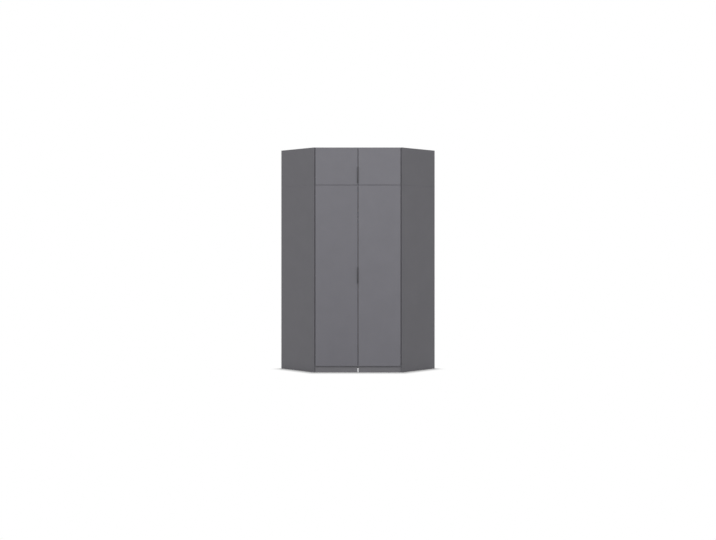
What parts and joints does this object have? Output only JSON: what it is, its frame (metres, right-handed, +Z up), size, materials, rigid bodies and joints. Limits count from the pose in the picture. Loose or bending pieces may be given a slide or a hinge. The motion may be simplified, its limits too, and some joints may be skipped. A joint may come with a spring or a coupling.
{
  "type": "corner wardrobe",
  "caption": "Tall five-sided corner wardrobe with a diagonal front, hinged full-height doors, a top box with its own doors, an edge-hooked pull for each pair of doors, a hat shelf and hanging rails.",
  "frame": {"origin": "on the floor, in the middle of the bounding box", "axes": "+Z up; -Y the way the doors face; +Y to the room corner; +X to the right seen from the front"},
  "size_m": [1.661, 1.2326, 2.36],
  "materials": {
    "slate_door": "slate grey melamine foil on chipboard, satin",
    "slate_board": "slate grey melamine foil on chipboard, satin",
    "hardboard_grey": "grey lacquered hardboard, matt",
    "softwood_batten": "planed spruce, unpainted",
    "graphite_metal": "graphite powder coat, satin",
    "hinge_steel": "nickel plated steel, satin",
    "rail_chrome": "chrome plated steel tube",
    "light_plastic": "off-white polypropylene",
    "black_plastic": "black polypropylene"
  },
  "bodies": {
    "carcase": {"lower_side_left": "slate_board", "lower_back_left": "hardboard_grey", "lower_side_right": "slate_board", "lower_back_right": "hardboard_grey", "lower_corner_post": "softwood_batten", "lower_bottom_board": "slate_board", "lower_top_board": "slate_board", "upper_side_left": "slate_board", "upper_back_left": "hardboard_grey", "upper_side_right": "slate_board", "upper_back_right": "hardboard_grey", "upper_corner_post": "softwood_batten", "upper_bottom_board": "slate_board", "upper_top_board": "slate_board", "hat_shelf": "slate_board", "plinth_left": "slate_board", "plinth_right": "slate_board", "plinth_joint_strip": "light_plastic", "centre_foot": "black_plastic", "hanging_rail_left": "rail_chrome", "hanging_rail_right": "rail_chrome", "rail_corner_block": "rail_chrome", "lower_left_hinge_arm_1": "hinge_steel", "lower_left_hinge_arm_2": "hinge_steel", "lower_left_hinge_arm_3": "hinge_steel", "lower_right_hinge_arm_1": "hinge_steel", "lower_right_hinge_arm_2": "hinge_steel", "lower_right_hinge_arm_3": "hinge_steel", "upper_left_hinge_arm_1": "hinge_steel", "upper_left_hinge_arm_2": "hinge_steel", "upper_right_hinge_arm_1": "hinge_steel", "upper_right_hinge_arm_2": "hinge_steel"},
    "lower_left_door": {"lower_left_door": "slate_door", "lower_left_handle": "graphite_metal", "lower_left_hinge_cup_1": "hinge_steel", "lower_left_hinge_cup_2": "hinge_steel", "lower_left_hinge_cup_3": "hinge_steel"},
    "lower_left_hinge_links": {"lower_left_hinge_link_1": "hinge_steel", "lower_left_hinge_link_2": "hinge_steel", "lower_left_hinge_link_3": "hinge_steel"},
    "lower_right_door": {"lower_right_door": "slate_door", "lower_right_hinge_cup_1": "hinge_steel", "lower_right_hinge_cup_2": "hinge_steel", "lower_right_hinge_cup_3": "hinge_steel"},
    "lower_right_hinge_links": {"lower_right_hinge_link_1": "hinge_steel", "lower_right_hinge_link_2": "hinge_steel", "lower_right_hinge_link_3": "hinge_steel"},
    "upper_left_door": {"upper_left_door": "slate_door", "upper_left_handle": "graphite_metal", "upper_left_hinge_cup_1": "hinge_steel", "upper_left_hinge_cup_2": "hinge_steel"},
    "upper_left_hinge_links": {"upper_left_hinge_link_1": "hinge_steel", "upper_left_hinge_link_2": "hinge_steel"},
    "upper_right_door": {"upper_right_door": "slate_door", "upper_right_hinge_cup_1": "hinge_steel", "upper_right_hinge_cup_2": "hinge_steel"},
    "upper_right_hinge_links": {"upper_right_hinge_link_1": "hinge_steel", "upper_right_hinge_link_2": "hinge_steel"}
  },
  "joints": [
    {"name": "lower_left_door_hinge", "type": "hinge", "parent": "carcase", "child": "lower_left_door", "pos_m": [-0.44681, -0.59238, 1.015], "axis": [0, 0, -1], "range_deg": [0, 110]},
    {"name": "lower_left_link_turn", "type": "hinge", "parent": "carcase", "child": "lower_left_hinge_links", "pos_m": [-0.44681, -0.59238, 1.015], "axis": [0, 0, -1], "range_deg": [0, 64]},
    {"name": "lower_right_door_hinge", "type": "hinge", "parent": "carcase", "child": "lower_right_door", "pos_m": [0.44681, -0.59238, 1.015], "axis": [0, 0, 1], "range_deg": [0, 110]},
    {"name": "lower_right_link_turn", "type": "hinge", "parent": "carcase", "child": "lower_right_hinge_links", "pos_m": [0.44681, -0.59238, 1.015], "axis": [0, 0, 1], "range_deg": [0, 64]},
    {"name": "upper_left_door_hinge", "type": "hinge", "parent": "carcase", "child": "upper_left_door", "pos_m": [-0.44681, -0.59238, 2.1625], "axis": [0, 0, -1], "range_deg": [0, 110]},
    {"name": "upper_left_link_turn", "type": "hinge", "parent": "carcase", "child": "upper_left_hinge_links", "pos_m": [-0.44681, -0.59238, 2.1625], "axis": [0, 0, -1], "range_deg": [0, 64]},
    {"name": "upper_right_door_hinge", "type": "hinge", "parent": "carcase", "child": "upper_right_door", "pos_m": [0.44681, -0.59238, 2.1625], "axis": [0, 0, 1], "range_deg": [0, 110]},
    {"name": "upper_right_link_turn", "type": "hinge", "parent": "carcase", "child": "upper_right_hinge_links", "pos_m": [0.44681, -0.59238, 2.1625], "axis": [0, 0, 1], "range_deg": [0, 64]}
  ],
  "couplings": [
    {"joint": "lower_left_link_turn", "follows": "lower_left_door_hinge", "ratio": 0.58},
    {"joint": "lower_right_link_turn", "follows": "lower_right_door_hinge", "ratio": 0.58},
    {"joint": "upper_left_link_turn", "follows": "upper_left_door_hinge", "ratio": 0.58},
    {"joint": "upper_right_link_turn", "follows": "upper_right_door_hinge", "ratio": 0.58}
  ]
}
